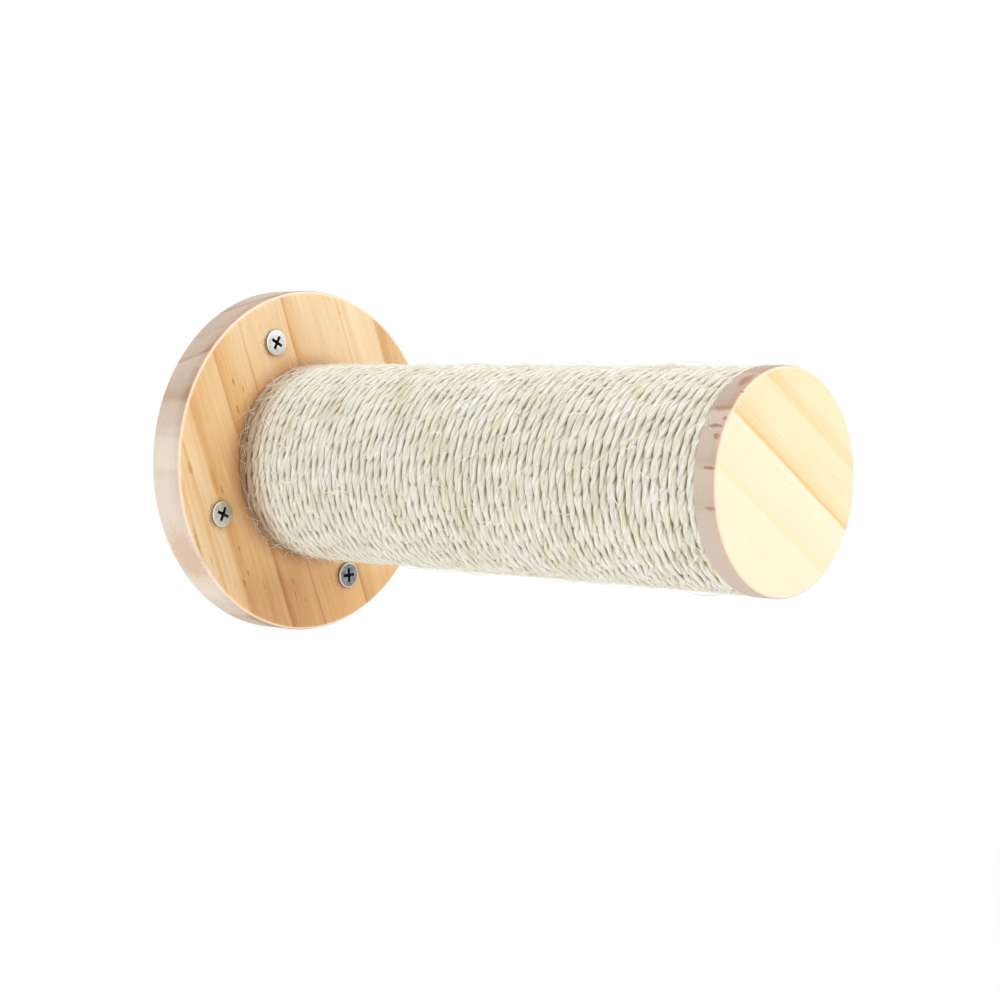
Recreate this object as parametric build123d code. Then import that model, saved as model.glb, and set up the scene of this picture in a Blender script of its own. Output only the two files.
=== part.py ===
from build123d import *
import math
import os

os.makedirs("parts", exist_ok=True)

# A cat scratching post that stands straight out of a wall. A round pine plate is held to the
# wall by four cross-head screws. A kraft paper tube, wound in sisal twine, stands out of the
# plate on a wooden plug, and a pine cap closes its free end on a second plug.
#
# Sizes are millimetres. The origin is the centre of the plate's back, which lies on the wall.
# The post points along -Y and +Z is up. Each piece is drawn with its own Z as the distance out
# from the wall and its own Y up, then turned into that frame when it is written.

# Wall plate
plate_dia = 120.0
plate_thick = 14.0
plate_front_round = 1.5
plate_back_round = 0.5

# Post, from the plate's front to the cap's back
post_length = 200.0
tube_outer_dia = 62.6
tube_wall = 5.0
rear_plug_length = 30.0
front_plug_length = 25.0
plug_gap = 0.1

# Twine winding
twine_dia = 2.8
twine_lift = 0.15
twine_end_gap = 0.3
turn_gap = 0.46
butt_gap = 0.3
most_turns_in_length = 24
winding_start_angle = -10.0

# End cap, which overhangs the winding a little
cap_thick = 8.0
cap_overhang = 0.25
cap_front_round = 1.2
cap_back_round = 0.4

# Dowels that hold the cap on the front plug
dowel_dia = 6.0
dowel_length = 16.0
dowel_in_cap = 5.0
dowel_chamfer = 0.8
dowel_gap = 0.05
dowel_end_gap = 0.5
dowel_count = 2
dowel_circle_dia = 28.0
dowel_first_angle = 45.0

# Wall screws, whose heads stand proud of the plate
wall_screw_count = 4
wall_screw_length = 30.0
wall_screw_head_dia = 8.8
wall_screw_head_rim = 0.4
wall_screw_head_proud = 1.2
wall_screw_shank_dia = 3.2
wall_screw_thread_dia = 4.5
wall_screw_tip = 5.0
wall_screw_edge_distance = 15.0
wall_screw_first_angle = 112.0
wall_screw_recess_span = 5.0
wall_screw_recess_arm = 1.1
wall_screw_recess_floor_dia = 1.76
wall_screw_recess_depth = 2.4
wall_screw_turns = [-28.0, -24.0, 3.0, 12.0]

# Post screws, driven from the plate's back into the rear plug
post_screw_count = 4
post_screw_length = 35.0
post_screw_head_dia = 7.6
post_screw_head_rim = 0.3
post_screw_head_sunk = 0.5
post_screw_shank_dia = 2.9
post_screw_thread_dia = 4.0
post_screw_tip = 4.0
post_screw_circle_dia = 36.0
post_screw_first_angle = 45.0
post_screw_recess_span = 4.2
post_screw_recess_arm = 1.0
post_screw_recess_floor_dia = 1.6
post_screw_recess_depth = 2.0
post_screw_turns = [8.0, -31.0, 17.0, 40.0]

# Clearances of the screws
screw_seat_gap = 0.1
screw_hole_gap = 0.15
thread_bite_gap = 0.05
pilot_extra_depth = 1.0

# Staples that hold the tube on its plugs
staple_crown = 10.0
staple_leg = 12.0
staple_wire_width = 1.2
staple_wire_thick = 0.6
staple_sink = 0.05
staple_count = 4
staple_first_angle = 0.0

# Levels, as distances out from the wall
post_start = plate_thick
post_end = post_start + post_length
front_plug_start = post_end - front_plug_length

tube_bore_dia = tube_outer_dia - 2 * tube_wall
plug_dia = tube_bore_dia - 2 * plug_gap
winding_dia = tube_outer_dia + 2 * (twine_lift + twine_dia)
cap_dia = winding_dia + 2 * cap_overhang
wall_screw_circle_dia = plate_dia - 2 * wall_screw_edge_distance

wall_frame = Plane(origin=(0, 0, 0), x_dir=(1, 0, 0), z_dir=(0, -1, 0))
cut_over = 1.0


def disc(diameter, start, length):
    """A plain round slab that starts at a distance from the wall and grows away from it."""
    return Pos(0, 0, start) * extrude(Circle(diameter / 2), amount=length)


def turned_disc(diameter, start, length, front_round, back_round):
    """A slab with its front and back rims rounded."""
    slab = disc(diameter, start, length)
    rims = slab.edges().filter_by(GeomType.CIRCLE).sort_by(Axis.Z)
    slab = fillet(rims[-1], front_round)
    back = slab.edges().filter_by(GeomType.CIRCLE).sort_by(Axis.Z)[0]
    return fillet(back, back_round)


def turned(points):
    """A solid of revolution about Z from (radius, height) points."""
    face = make_face(Plane.XZ * Polyline(*points, close=True))
    return revolve(face, axis=Axis.Z)


def around(count, first_angle):
    """Evenly spaced angles about the post's axis, in degrees."""
    return [first_angle + 360.0 * i / count for i in range(count)]


def on_circle(circle_dia, angle, height):
    """A place on a circle about the post's axis, turned with the circle."""
    return Rot(0, 0, angle) * Pos(circle_dia / 2, 0, height)


def cross_recess(span, arm, floor_dia, depth):
    """The cross-shaped socket, narrowing downwards from a head's top at height 0."""
    mouth_r = span / 2
    cone = turned(
        [(0, cut_over), (mouth_r, cut_over), (mouth_r, 0), (floor_dia / 2, -depth), (0, -depth)]
    )
    cross = Rectangle(span, arm) + Rectangle(arm, span)
    bars = extrude(cross, amount=-depth) + extrude(cross, amount=cut_over)
    return cone & bars


def wood_screw(length, head_dia, head_rim, shank_dia, thread_dia, thread_start, tip, recess):
    """A countersunk screw with its head's top at height 0 and its point at -length."""
    head_r = head_dia / 2
    shank_r = shank_dia / 2
    thread_r = thread_dia / 2
    cone_end = head_rim + head_r - shank_r
    body = turned(
        [
            (0, 0),
            (head_r, 0),
            (head_r, -head_rim),
            (shank_r, -cone_end),
            (shank_r, -thread_start),
            (thread_r, -thread_start),
            (thread_r, -(length - tip)),
            (0, -length),
        ]
    )
    return body - recess


def screw_cutter(head_dia, head_rim, thread_dia, depth):
    """The countersunk hole that a screw of this head and thread passes through."""
    head_r = head_dia / 2 + screw_seat_gap
    hole_r = thread_dia / 2 + screw_hole_gap
    return turned(
        [
            (0, cut_over),
            (head_r, cut_over),
            (head_r, -head_rim),
            (hole_r, -head_rim - (head_r - hole_r)),
            (hole_r, -depth),
            (0, -depth),
        ]
    )


def wall_screw_places():
    """Each wall screw's head, on its circle and proud of the plate's front."""
    height = plate_thick + wall_screw_head_proud
    angles = around(wall_screw_count, wall_screw_first_angle)
    return [on_circle(wall_screw_circle_dia, a, height) * Rot(0, 0, -a) for a in angles]


def post_screw_places():
    """Each post screw's head, sunk in the plate's back and pointing out along the post."""
    angles = around(post_screw_count, post_screw_first_angle)
    spots = [on_circle(post_screw_circle_dia, a, post_screw_head_sunk) for a in angles]
    return [spot * Rot(0, 0, -a) * Rot(180, 0, 0) for spot, a in zip(spots, angles)]


def wall_screws():
    recess = cross_recess(
        wall_screw_recess_span,
        wall_screw_recess_arm,
        wall_screw_recess_floor_dia,
        wall_screw_recess_depth,
    )
    body = wood_screw(
        wall_screw_length,
        wall_screw_head_dia,
        wall_screw_head_rim,
        wall_screw_shank_dia,
        wall_screw_thread_dia,
        plate_thick + wall_screw_head_proud,
        wall_screw_tip,
        recess,
    )
    turns = zip(wall_screw_places(), wall_screw_turns)
    return [place * Rot(0, 0, turn) * body for place, turn in turns]


def post_screws():
    recess = cross_recess(
        post_screw_recess_span,
        post_screw_recess_arm,
        post_screw_recess_floor_dia,
        post_screw_recess_depth,
    )
    body = wood_screw(
        post_screw_length,
        post_screw_head_dia,
        post_screw_head_rim,
        post_screw_shank_dia,
        post_screw_thread_dia,
        plate_thick - post_screw_head_sunk,
        post_screw_tip,
        recess,
    )
    turns = zip(post_screw_places(), post_screw_turns)
    return [place * Rot(0, 0, turn) * body for place, turn in turns]


def wall_plate():
    plate = turned_disc(plate_dia, 0, plate_thick, plate_front_round, plate_back_round)
    wall_hole = screw_cutter(
        wall_screw_head_dia,
        wall_screw_head_rim,
        wall_screw_thread_dia,
        plate_thick + wall_screw_head_proud + cut_over,
    )
    post_hole = screw_cutter(
        post_screw_head_dia,
        post_screw_head_rim,
        post_screw_thread_dia,
        plate_thick + cut_over,
    )
    for place in wall_screw_places():
        plate -= place * wall_hole
    for place in post_screw_places():
        plate -= place * post_hole
    return plate


def staple(angle, middle):
    """A staple driven in towards the axis, its crown along the post and flush with the tube."""
    outside = tube_outer_dia / 2 - staple_sink
    crown = Pos(outside - staple_wire_thick / 2, 0, 0) * Box(
        staple_wire_thick, staple_wire_width, staple_crown
    )
    reach = (staple_crown - staple_wire_thick) / 2
    for side in (-1, 1):
        crown += Pos(outside - staple_leg / 2, 0, side * reach) * Box(
            staple_leg, staple_wire_width, staple_wire_thick
        )
    return Rot(0, 0, angle) * Pos(0, 0, middle) * crown


def staples(middle):
    return [staple(angle, middle) for angle in around(staple_count, staple_first_angle)]


def core_tube(all_staples):
    tube = disc(tube_outer_dia, post_start, post_length)
    tube -= disc(tube_bore_dia, post_start - cut_over, post_length + 2 * cut_over)
    for one in all_staples:
        tube -= one
    return tube


def rear_plug(own_staples):
    plug = disc(plug_dia, post_start, rear_plug_length)
    screw_end = post_screw_head_sunk + post_screw_length + pilot_extra_depth
    pilot_dia = post_screw_thread_dia + 2 * thread_bite_gap
    pilot = disc(pilot_dia, post_start - cut_over, screw_end - post_start + cut_over)
    for angle in around(post_screw_count, post_screw_first_angle):
        plug -= on_circle(post_screw_circle_dia, angle, 0) * pilot
    for one in own_staples:
        plug -= one
    return plug


def front_plug(own_staples):
    plug = disc(plug_dia, front_plug_start, front_plug_length)
    depth = dowel_length - dowel_in_cap + dowel_end_gap
    hole = disc(dowel_dia + 2 * dowel_gap, post_end - depth, depth + cut_over)
    for angle in around(dowel_count, dowel_first_angle):
        plug -= on_circle(dowel_circle_dia, angle, 0) * hole
    for one in own_staples:
        plug -= one
    return plug


def cap_dowels():
    dowel = disc(dowel_dia, post_end + dowel_in_cap - dowel_length, dowel_length)
    dowel = chamfer(dowel.edges().filter_by(GeomType.CIRCLE), dowel_chamfer)
    return [
        on_circle(dowel_circle_dia, angle, 0) * dowel
        for angle in around(dowel_count, dowel_first_angle)
    ]


def end_cap():
    cap = turned_disc(cap_dia, post_end, cap_thick, cap_front_round, cap_back_round)
    depth = dowel_in_cap + dowel_end_gap
    hole = disc(dowel_dia + 2 * dowel_gap, post_end - cut_over, depth + cut_over)
    for angle in around(dowel_count, dowel_first_angle):
        cap -= on_circle(dowel_circle_dia, angle, 0) * hole
    return cap


class Winding:
    """The steady spiral that the twine's middle follows, and how it is cut into lengths."""

    def __init__(self):
        self.radius = tube_outer_dia / 2 + twine_lift + twine_dia / 2
        self.start = post_start + twine_end_gap + twine_dia / 2
        run = post_length - 2 * twine_end_gap - twine_dia
        most_turns = run / (twine_dia + turn_gap)
        self.lengths = math.ceil(most_turns / most_turns_in_length)
        straight_angle = math.atan2(twine_dia, self.radius)
        self.join_turns = (2 * straight_angle + butt_gap / self.radius) / (2 * math.pi)
        halves = math.floor(2 * (most_turns - (self.lengths - 1) * self.join_turns))
        self.pitch = run / (halves / 2 + (self.lengths - 1) * self.join_turns)
        share, left = divmod(halves, self.lengths)
        self.half_turns = [share + (i < left) for i in range(self.lengths)]

    def point(self, turns):
        angle = math.radians(winding_start_angle) + 2 * math.pi * turns
        height = self.start + self.pitch * turns
        return Vector(self.radius * math.cos(angle), self.radius * math.sin(angle), height)

    def direction(self, turns):
        angle = math.radians(winding_start_angle) + 2 * math.pi * turns
        way = self.radius * 2 * math.pi
        return Vector(-way * math.sin(angle), way * math.cos(angle), self.pitch).normalized()


def biarc(start, start_way, end, end_way):
    """Two arcs that leave start and reach end along the given directions and meet smoothly."""
    gap = end - start
    both = start_way + end_way
    a = both.dot(both) - 4
    b = -2 * gap.dot(both)
    c = gap.dot(gap)
    root = math.sqrt(b * b - 4 * a * c)
    arm = max((-b + root) / (2 * a), (-b - root) / (2 * a))
    near = start + start_way * arm
    far = end - end_way * arm
    middle = (near + far) * 0.5
    middle_way = (far - near).normalized()
    return [
        Edge.make_tangent_arc(start, start_way, middle),
        Edge.make_tangent_arc(middle, middle_way, end),
    ]


def twine_path(winding, first_turn, half_turns):
    """The middle line of one length: half-turn biarcs between two straight ends."""
    first = winding.point(first_turn)
    first_way = winding.direction(first_turn)
    edges = [Edge.make_line(first - first_way * twine_dia, first)]
    for i in range(half_turns):
        a = first_turn + i / 2
        b = a + 0.5
        edges += biarc(
            winding.point(a), winding.direction(a), winding.point(b), winding.direction(b)
        )
    last_turn = first_turn + half_turns / 2
    last = winding.point(last_turn)
    last_way = winding.direction(last_turn)
    edges.append(Edge.make_line(last, last + last_way * twine_dia))
    return edges


def least_gap(edges):
    """The smallest clear gap between a turn and the next, measured on points of the path.

    A turn is four arcs, and each point is tested against the half turn that lies beside it.
    """
    steps_in_arc = 16
    points = [arc @ (i / steps_in_arc) for arc in edges[1:-1] for i in range(steps_in_arc)]
    first_beside = 3 * steps_in_arc
    last_beside = 5 * steps_in_arc
    nearest = math.inf
    for i in range(len(points) - last_beside):
        beside = points[i + first_beside : i + last_beside]
        nearest = min(nearest, min((points[i] - other).length for other in beside))
    return nearest - twine_dia


def sisal_rope():
    """The lengths of twine from the plate to the cap, butted end to end."""
    winding = Winding()
    solids = []
    first_turn = 0.0
    for half_turns in winding.half_turns:
        edges = twine_path(winding, first_turn, half_turns)
        path = Wire(edges)
        section = Plane(origin=path @ 0, z_dir=path % 0) * Circle(twine_dia / 2)
        solids.append(sweep(section, path=path))
        gap = round(least_gap(edges), 3)
        print(f"twine of {path.length:.0f} mm in {half_turns / 2} turns, least gap {gap} mm")
        first_turn += half_turns / 2 + winding.join_turns
    return solids


def rope_names(count):
    """Names along the post for the lengths of twine."""
    if count == 3:
        return ["sisal_rope_rear", "sisal_rope_middle", "sisal_rope_front"]
    return [f"sisal_rope_{i + 1}" for i in range(count)]


def write(name, piece):
    placed = wall_frame.location * piece
    placed.label = name
    export_step(placed, f"parts/{name}.step")


def numbered(name, pieces):
    for i, piece in enumerate(pieces):
        write(f"{name}_{i + 1}", piece)


rear_staples = staples(post_start + rear_plug_length / 2)
front_staples = staples(front_plug_start + front_plug_length / 2)

write("wall_plate", wall_plate())
numbered("wall_screw", wall_screws())
numbered("post_screw", post_screws())
write("rear_plug", rear_plug(rear_staples))
write("core_tube", core_tube(rear_staples + front_staples))
numbered("rear_staple", rear_staples)
write("front_plug", front_plug(front_staples))
numbered("front_staple", front_staples)
numbered("cap_dowel", cap_dowels())
write("end_cap", end_cap())
ropes = sisal_rope()
for rope_name, rope in zip(rope_names(len(ropes)), ropes):
    write(rope_name, rope)
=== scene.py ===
import math
import random

import bmesh
import bpy
import numpy as np
from mathutils import Matrix, Vector


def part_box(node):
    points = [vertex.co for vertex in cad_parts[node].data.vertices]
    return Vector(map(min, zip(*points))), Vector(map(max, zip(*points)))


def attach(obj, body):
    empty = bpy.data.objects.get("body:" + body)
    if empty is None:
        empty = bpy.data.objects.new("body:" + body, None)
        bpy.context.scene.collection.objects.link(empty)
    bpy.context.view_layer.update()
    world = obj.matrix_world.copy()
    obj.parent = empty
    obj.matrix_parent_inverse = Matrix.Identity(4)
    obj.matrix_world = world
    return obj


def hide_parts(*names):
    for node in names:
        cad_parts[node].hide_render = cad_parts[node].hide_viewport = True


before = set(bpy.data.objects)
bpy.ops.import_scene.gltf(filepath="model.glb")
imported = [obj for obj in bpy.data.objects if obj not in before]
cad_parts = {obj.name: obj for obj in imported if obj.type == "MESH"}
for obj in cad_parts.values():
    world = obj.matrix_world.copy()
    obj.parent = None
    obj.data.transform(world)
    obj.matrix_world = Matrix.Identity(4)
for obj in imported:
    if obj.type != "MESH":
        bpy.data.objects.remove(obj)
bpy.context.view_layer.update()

bl_info = {
    "name": "Wall Scratching Post",
    "version": (1, 0, 0),
    "blender": (4, 5, 0),
    "location": "View3D > Sidebar > Scratching Post",
    "description": "A sisal-wound scratching post on a round pine wall plate, piece by piece",
    "category": "Object",
}

# Object coordinates are metres. "Out" is the distance from the wall, so a place is (x, -out, z).
MM = 0.001
WALL = Matrix.Rotation(math.radians(90), 4, "X")

plate_low, plate_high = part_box("wall_plate")
cap_low, cap_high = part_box("end_cap")
tube_low, tube_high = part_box("core_tube")

RIM_POINTS = 288
PLATE_BACK_ROUND, CAP_BACK_ROUND = 0.5 * MM, 0.4 * MM
FACE_INSET = 0.4 * MM

# Every cutter starts this far outside the face that it cuts.
CUTTER_RISE = 1.0 * MM
SEAT_GAP = 0.1 * MM
WALL_SCREW = dict(
    length=30 * MM, head=8.8 * MM, rim=0.4 * MM, shank=3.2 * MM, thread=4.5 * MM,
    thread_start=15.2 * MM, tip=5 * MM, pitch=1.9 * MM,
    socket=dict(span=5.0 * MM, arm=1.1 * MM, floor=1.76 * MM, depth=2.4 * MM),
)
POST_SCREW = dict(
    length=35 * MM, head=7.6 * MM, rim=0.3 * MM, shank=2.9 * MM, thread=4.0 * MM,
    thread_start=13.5 * MM, tip=4 * MM, pitch=1.8 * MM,
    socket=dict(span=4.2 * MM, arm=1.0 * MM, floor=1.6 * MM, depth=2.0 * MM),
)
WALL_HOLE_RADIUS, WALL_HOLE_DEPTH = 2.4 * MM, 17 * MM
POST_HOLE_RADIUS, POST_HOLE_DEPTH = 2.15 * MM, 16 * MM
WALL_SCREW_TURNS = (-28.0, -24.0, 3.0, 12.0)
POST_SCREW_TURNS = (8.0, -31.0, 17.0, 40.0)
POST_SCREW_ANGLE = math.radians(45)
POST_HEAD_SUNK = 0.5 * MM
# Values of the screws' "screw_zone" attribute, which is 0 elsewhere. The zinc paints shade into the
# socket zone and a highlight on the rim zone.
SOCKET_ZONE, RIM_ZONE = 1.0, 0.5
DOWEL_HOLE_RADIUS, DOWEL_HOLE_DEPTH = 3.05 * MM, 5.5 * MM
DOWEL_ANGLES = (45, 225)
DOWEL_CIRCLE_RADIUS = 14 * MM

TURNS_IN_PIECE = 10
SECTION_POINTS = 24
RINGS_IN_LAY = 28
FIRST_TURN_ANGLE = math.radians(-10.0)
LEVEL_TURNS = 28
FIBRE_STEPS = 24


# Modelling helpers


def deselect_all():
    if bpy.context.object and bpy.context.object.mode != "OBJECT":
        bpy.ops.object.mode_set(mode="OBJECT")
    bpy.ops.object.select_all(action="DESELECT")


def make_active(obj):
    deselect_all()
    obj.select_set(True)
    bpy.context.view_layer.objects.active = obj


def edit_all(obj):
    make_active(obj)
    bpy.ops.object.mode_set(mode="EDIT")
    bpy.ops.mesh.select_all(action="SELECT")


def leave_edit():
    bpy.ops.object.mode_set(mode="OBJECT")


def add_shape(operator, name, **settings):
    """Add one of Blender's own shapes and put its place and turn into its mesh."""
    deselect_all()
    operator(**settings)
    obj = bpy.context.object
    obj.name = name
    bpy.ops.object.transform_apply(location=True, rotation=True, scale=True)
    return obj


def pick(obj, kind, wanted):
    """Leave obj in edit mode with only those of its edges or faces selected that pass the test."""
    edit_all(obj)
    bpy.ops.mesh.select_mode(type=kind)
    bpy.ops.mesh.select_all(action="DESELECT")
    mesh = bmesh.from_edit_mesh(obj.data)
    for part in mesh.faces if kind == "FACE" else mesh.edges:
        part.select = wanted(part)
    mesh.select_flush_mode()
    bmesh.update_edit_mesh(obj.data)


def face_outwards(obj, close=False):
    """Turn every face outwards, once the open ends are closed if they should be."""
    edit_all(obj)
    if close:
        bpy.ops.mesh.fill_holes(sides=0)
    bpy.ops.mesh.normals_make_consistent(inside=False)
    leave_edit()


def settle(obj, degrees=30.0):
    """Put the object's place into its mesh and smooth the faces that meet at a small angle."""
    make_active(obj)
    bpy.ops.object.transform_apply(location=True, rotation=True, scale=True)
    bpy.ops.object.shade_smooth_by_angle(angle=math.radians(degrees))


def apply_modifier(obj, kind, **settings):
    make_active(obj)
    modifier = obj.modifiers.new(kind.title(), kind)
    for key, value in settings.items():
        setattr(modifier, key, value)
    bpy.ops.object.modifier_apply(modifier=modifier.name)


def cut(obj, cutter):
    apply_modifier(obj, "BOOLEAN", object=cutter, operation="DIFFERENCE", solver="EXACT")
    bpy.data.objects.remove(cutter)


def join(objects, name):
    deselect_all()
    for obj in objects:
        obj.select_set(True)
    bpy.context.view_layer.objects.active = objects[0]
    bpy.ops.object.join()
    objects[0].name = name
    return objects[0]


def copy_at(obj, name, place):
    """A copy with its own mesh, put at its place inside the mesh."""
    twin = obj.copy()
    twin.data = obj.data.copy()
    twin.data.transform(place)
    twin.name = name
    bpy.context.collection.objects.link(twin)
    return twin


def copies(obj, places):
    """One unnamed copy for each place, in place of the model."""
    made = [copy_at(obj, "cutter", place) for place in places]
    bpy.data.objects.remove(obj)
    return made


def turned(name, points, count):
    """A closed round piece about Z, drawn up from a disc by extruding and scaling its rim."""
    radius, height = points[0]
    obj = add_shape(
        bpy.ops.mesh.primitive_circle_add, name,
        vertices=count, radius=radius, fill_type="NGON", location=(0, 0, height),
    )
    pick(obj, "FACE", lambda face: True)
    for next_radius, next_height in points[1:]:
        rise = next_height - height
        bpy.ops.mesh.extrude_region_move(TRANSFORM_OT_translate={"value": (0, 0, rise)})
        factor = next_radius / radius
        bpy.ops.transform.resize(value=(factor, factor, 1.0), center_override=(0, 0, next_height))
        radius, height = next_radius, next_height
    leave_edit()
    face_outwards(obj)
    return obj


def round_slab(name, radius, out, thick, front_round, back_round):
    """A turned slab across the post's axis with both rims rounded and a narrow flat inside them."""
    obj = add_shape(
        bpy.ops.mesh.primitive_cylinder_add, name, vertices=RIM_POINTS, radius=radius, depth=thick,
        location=(0, -(out + thick / 2), 0), rotation=(math.radians(90), 0, 0),
    )
    for rim_out, size in ((out + thick, front_round), (out, back_round)):
        pick(obj, "EDGE", lambda edge: all(abs(vert.co.y + rim_out) < 1e-6 for vert in edge.verts))
        bpy.ops.mesh.bevel(offset=size, offset_type="OFFSET", segments=7, affect="EDGES")
    pick(obj, "FACE", lambda face: abs(face.normal.y) > 0.999 and len(face.verts) > 100)
    bpy.ops.mesh.inset(thickness=FACE_INSET, use_individual=True)
    leave_edit()
    return obj


def add_piece(obj, slot, material, *nodes):
    """Give a finished piece its finish and its body, and hide the CAD nodes that it stands for."""
    obj.data.materials.clear()
    obj.data.materials.append(material)
    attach(obj, "root")
    if nodes:
        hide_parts(*nodes)


# Screws, their holes and their places


def screw_hole(name, screw, hole_radius, depth):
    mouth = screw["head"] / 2 + SEAT_GAP
    rim = screw["rim"]
    points = [
        (mouth, CUTTER_RISE),
        (mouth, -rim),
        (hole_radius, -rim - (mouth - hole_radius)),
        (hole_radius, -depth),
    ]
    return turned(name, points, 64)


def screw_places(circle, first_angle, out, facing, turns):
    """Places a quarter turn apart on a circle, each screw turned about its own axis."""
    for i, turn in enumerate(turns):
        angle = first_angle + math.radians(90 * i)
        spot = Matrix.Translation((circle / 2 * math.cos(angle), circle / 2 * math.sin(angle), out))
        yield WALL @ spot @ facing @ Matrix.Rotation(math.radians(turn), 4, "Z")


def wall_screw_places(sizes):
    out = sizes.plate_thick + sizes.wall_head_proud
    return screw_places(
        sizes.wall_screw_circle, sizes.wall_screw_angle, out, Matrix(), WALL_SCREW_TURNS
    )


def post_screw_places(sizes):
    flip = Matrix.Rotation(math.radians(180), 4, "X")
    return screw_places(
        sizes.post_screw_circle, POST_SCREW_ANGLE, POST_HEAD_SUNK, flip, POST_SCREW_TURNS
    )


def cross_cutter(span, arm, floor, depth):
    """Two bars across each other that narrow to the socket's floor, and a small pit below."""
    top_span = span + (span - floor) * CUTTER_RISE / depth
    parts = []
    for quarter in range(2):
        bar = add_shape(bpy.ops.mesh.primitive_cube_add, "socket_bar", size=1.0)
        bar.scale = (top_span, arm * 1.12, depth + CUTTER_RISE)
        bar.location = (0, 0, (CUTTER_RISE - depth) / 2)
        bpy.ops.object.transform_apply(location=True, rotation=False, scale=True)
        pick(bar, "FACE", lambda face: face.normal.z < -0.9)
        bpy.ops.transform.resize(value=(floor / top_span, 0.7, 1.0), center_override=(0, 0, -depth))
        pick(bar, "EDGE", lambda edge: True)
        bpy.ops.mesh.bevel(offset=0.07 * MM, segments=2, affect="EDGES")
        leave_edit()
        bar.data.transform(Matrix.Rotation(math.radians(90 * quarter), 4, "Z"))
        parts.append(bar)
    pit = [(arm * 0.85, CUTTER_RISE), (arm * 0.85, -depth * 0.55), (floor * 0.2, -depth * 1.12)]
    return parts + [turned("socket_pit", pit, 16)]


def thread_ridge(length, shank_r, thread_r, thread_start, tip, pitch):
    """A ridge wound about Z that grows out of the shank and runs down to the point."""
    ridge = add_shape(
        bpy.ops.mesh.primitive_circle_add, "thread", vertices=3, rotation=(math.radians(90), 0, 0)
    )
    root_r = shank_r - 0.15 * MM
    corners = ((thread_r, 0.5), (root_r, 0.14), (root_r, 0.86))
    for vert, (radius, share) in zip(ridge.data.vertices, corners):
        vert.co = (radius, 0, -thread_start - share * pitch)
    apply_modifier(
        ridge, "SCREW", axis="Z", angle=math.radians(-360), screw_offset=-pitch,
        iterations=int((length - tip * 0.35 - thread_start) / pitch),
        steps=18, render_steps=18, use_smooth_shade=False,
    )
    face_outwards(ridge, close=True)
    for vert in ridge.data.vertices:
        radius = math.hypot(vert.co.x, vert.co.y)
        grown = min(1.0, (-vert.co.z - thread_start) / (1.3 * pitch))
        left = max(0.0, 1.0 - max(0.0, -vert.co.z - (length - tip)) / tip)
        limit = shank_r * max(left, 0.12)
        wanted = min(radius, limit * 0.85)
        if radius > shank_r:
            wanted = limit + (thread_r - shank_r) * min(grown, 0.25 + left)
        vert.co.x *= wanted / radius
        vert.co.y *= wanted / radius
    face_outwards(ridge)
    return ridge


def wood_screw(name, length, head, rim, shank, thread, thread_start, tip, pitch, socket):
    """A countersunk cross-head screw with its head's top at height 0 and its point at -length."""
    head_r, shank_r, thread_r = head / 2, shank / 2, thread / 2
    soft = 0.2 * MM
    outline = [
        (head_r - soft * 1.6, 0),
        (head_r - soft * 0.5, -soft * 0.3),
        (head_r, -soft),
        (head_r, -rim),
        (shank_r, -(rim + head_r - shank_r)),
        (shank_r, -(length - tip)),
        (shank_r * 0.62, -(length - tip * 0.45)),
        (shank_r * 0.08, -length),
    ]
    body = turned(name, outline, 48)
    for cutter in cross_cutter(**socket):
        cut(body, cutter)
    ridge = thread_ridge(length, shank_r, thread_r, thread_start, tip, pitch)
    body = join([body, ridge], name)
    settle(body, 28)
    zone = body.data.attributes.new("screw_zone", "FLOAT", "CORNER")
    for face in body.data.polygons:
        reach = math.hypot(face.center.x, face.center.y)
        value = 0.0
        if reach < socket["span"] * 0.6 and -socket["depth"] * 1.3 < face.center.z < -0.02 * MM:
            value = SOCKET_ZONE
        elif reach > head_r * 0.93 and face.center.z > -rim:
            value = RIM_ZONE
        for corner in face.loop_indices:
            zone.data[corner].value = value
    return body


# Twine


def wander(distance, seed, wavelengths, size):
    """A smooth random drift along the twine, the same wherever it is asked for."""
    rng = random.Random(seed)
    total = np.zeros_like(distance)
    for wavelength in wavelengths:
        for _ in range(3):
            length = wavelength * rng.uniform(0.7, 1.4)
            total += np.sin(distance * (2 * math.pi / length) + rng.uniform(0, 6.3))
    return total * size / math.sqrt(1.5 * len(wavelengths))


def ease(share):
    """From 0 to 1 without a kink at either end."""
    share = np.clip(share, 0, 1)
    return share * share * (3 - 2 * share)


def read_all(items, key, kind, width=1):
    values = np.empty(len(items) * width, dtype=kind)
    items.foreach_get(key, values)
    return values


def twine_circle(sizes):
    """Radius of the circle on which the wound twine's middle lies."""
    return sizes.tube_dia / 2 + sizes.twine_dia * 0.44


def twine_section(name, sizes):
    """The outline of three strands lying against each other, shaped from a circle."""
    obj = add_shape(bpy.ops.mesh.primitive_circle_add, name, vertices=SECTION_POINTS)
    strand = sizes.twine_dia * 0.29
    offset = sizes.twine_dia * 0.20
    third = 2 * math.pi / 3
    for vert in obj.data.vertices:
        angle = math.atan2(vert.co.y, vert.co.x)
        beside = (angle + third / 2) % third - third / 2
        radius = offset * math.cos(beside) + math.sqrt(strand**2 - (offset * math.sin(beside)) ** 2)
        vert.co = (radius * math.cos(angle), radius * math.sin(angle), 0)
    return obj


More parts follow.
